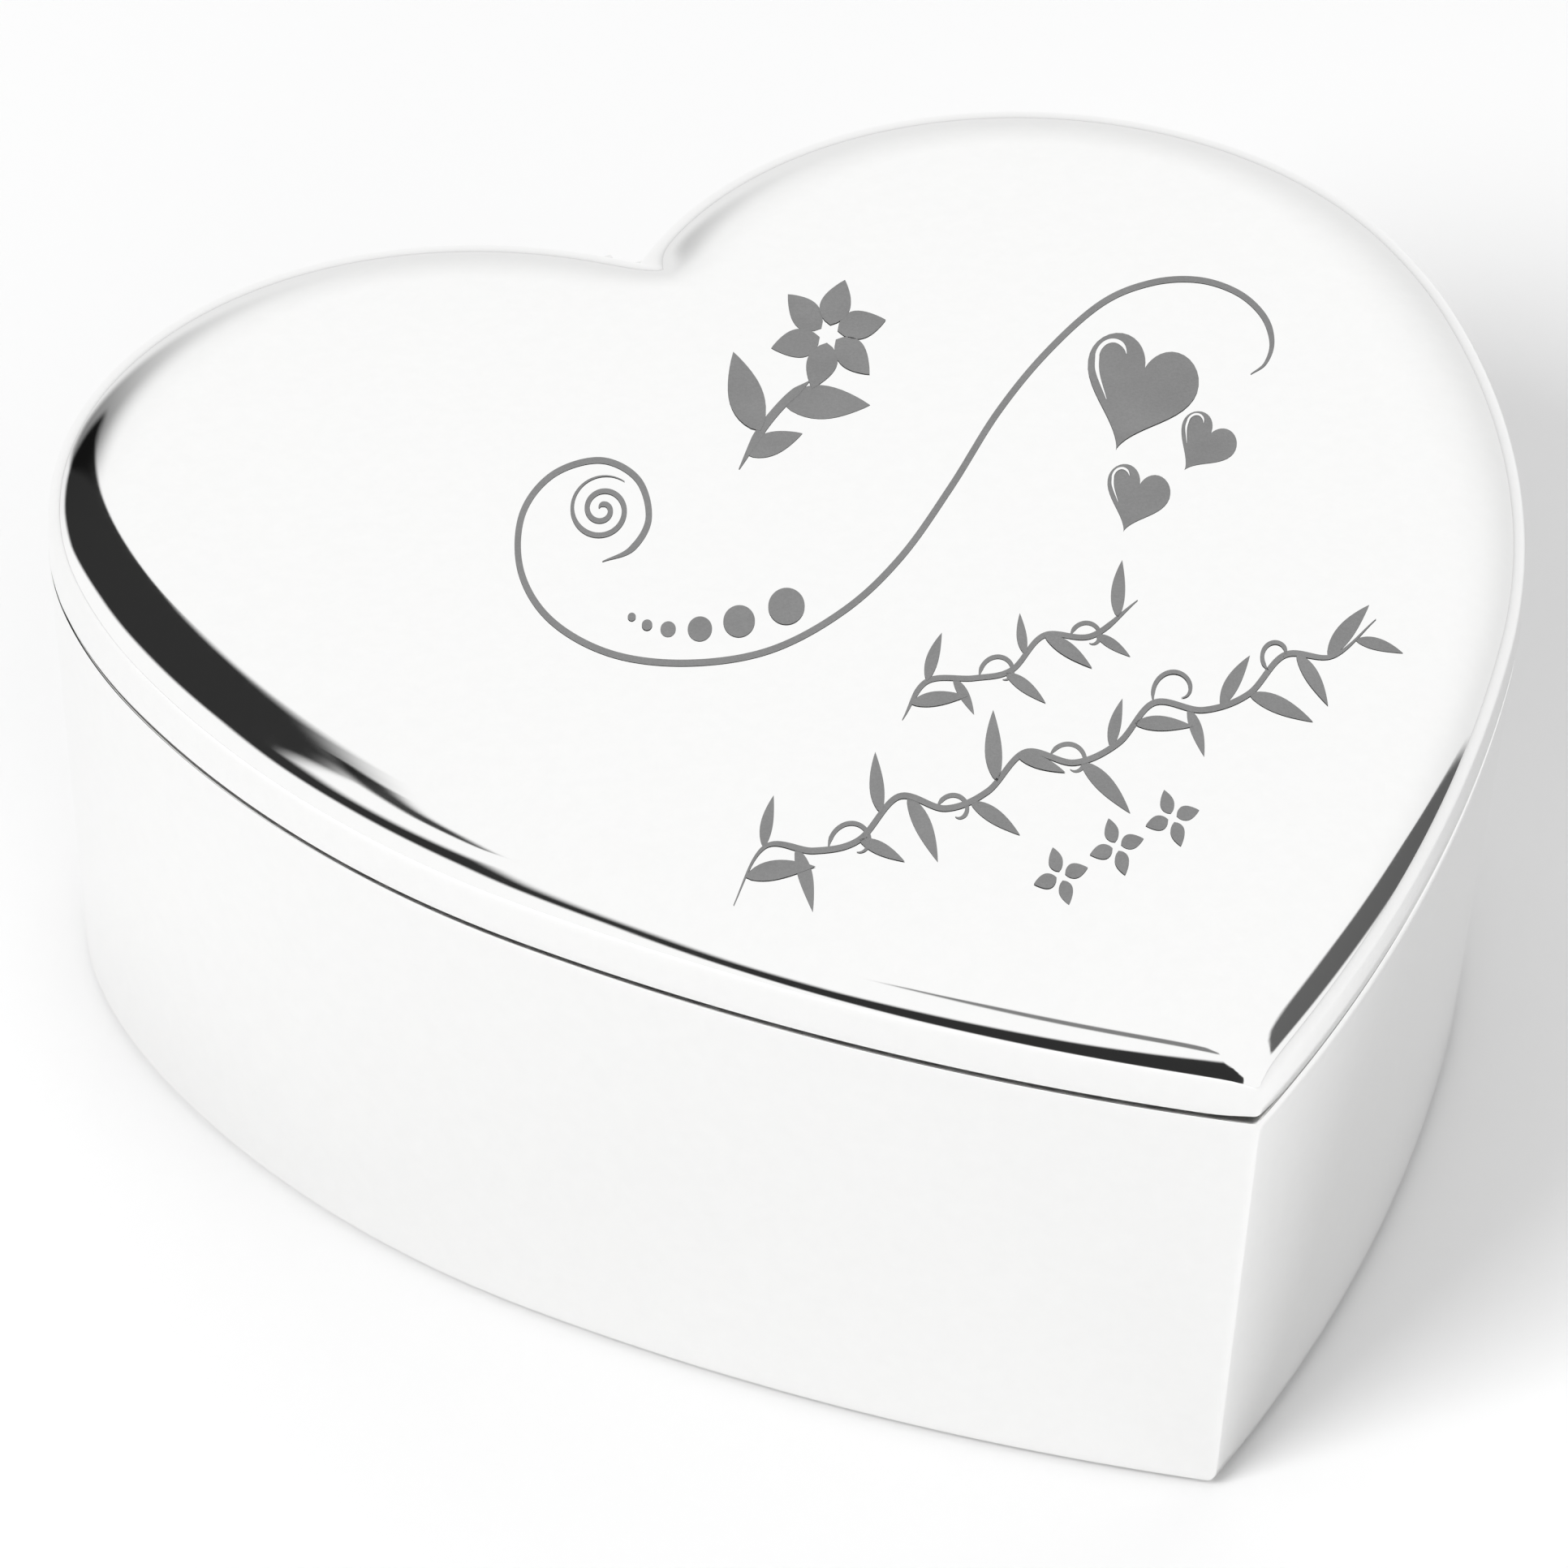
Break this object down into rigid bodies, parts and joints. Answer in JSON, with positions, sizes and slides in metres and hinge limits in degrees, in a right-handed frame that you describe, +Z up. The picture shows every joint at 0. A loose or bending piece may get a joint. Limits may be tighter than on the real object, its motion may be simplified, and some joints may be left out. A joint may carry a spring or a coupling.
{
  "type": "heart-shaped trinket box",
  "caption": "Heart-shaped metal trinket box with a low domed lid hinged at the cleft, a fabric-lined interior and a felt underside.",
  "frame": {"origin": "centre of the bounding box of the closed box (hinge included) on the table plane", "axes": "+Z up; the tip of the heart points along -Y (front); the cleft and hinge are at +Y (back); +X is the right lobe seen from the front"},
  "size_m": [0.0904, 0.0998, 0.0369],
  "materials": {
    "plating": "mirror-polished silver-coloured plate",
    "hinge_metal": "plated, lightly brushed (assumed)",
    "pin_metal": "steel wire with peened heads (assumed)",
    "velvet": "short-pile black velvet (assumed)",
    "card": "grey-brown lining board (assumed)",
    "felt": "black felt (assumed)"
  },
  "bodies": {
    "base": {"base_shell": "plating", "underside_felt": "felt", "floor_card": "card", "floor_velvet": "velvet", "wall_card_left": "card", "wall_card_right": "card", "wall_velvet_left": "velvet", "wall_velvet_right": "velvet", "hinge_base_bracket": "hinge_metal", "hinge_pin": "pin_metal"},
    "lid": {"lid_shell": "plating", "lid_card": "card", "lid_velvet": "velvet", "hinge_lid_bracket": "hinge_metal"}
  },
  "joints": [
    {"name": "lid_hinge", "type": "hinge", "parent": "base", "child": "lid", "pos_m": [0, 0.04695, 0.0248], "axis": [-1, 0, 0], "range_deg": [0, 100]}
  ]
}
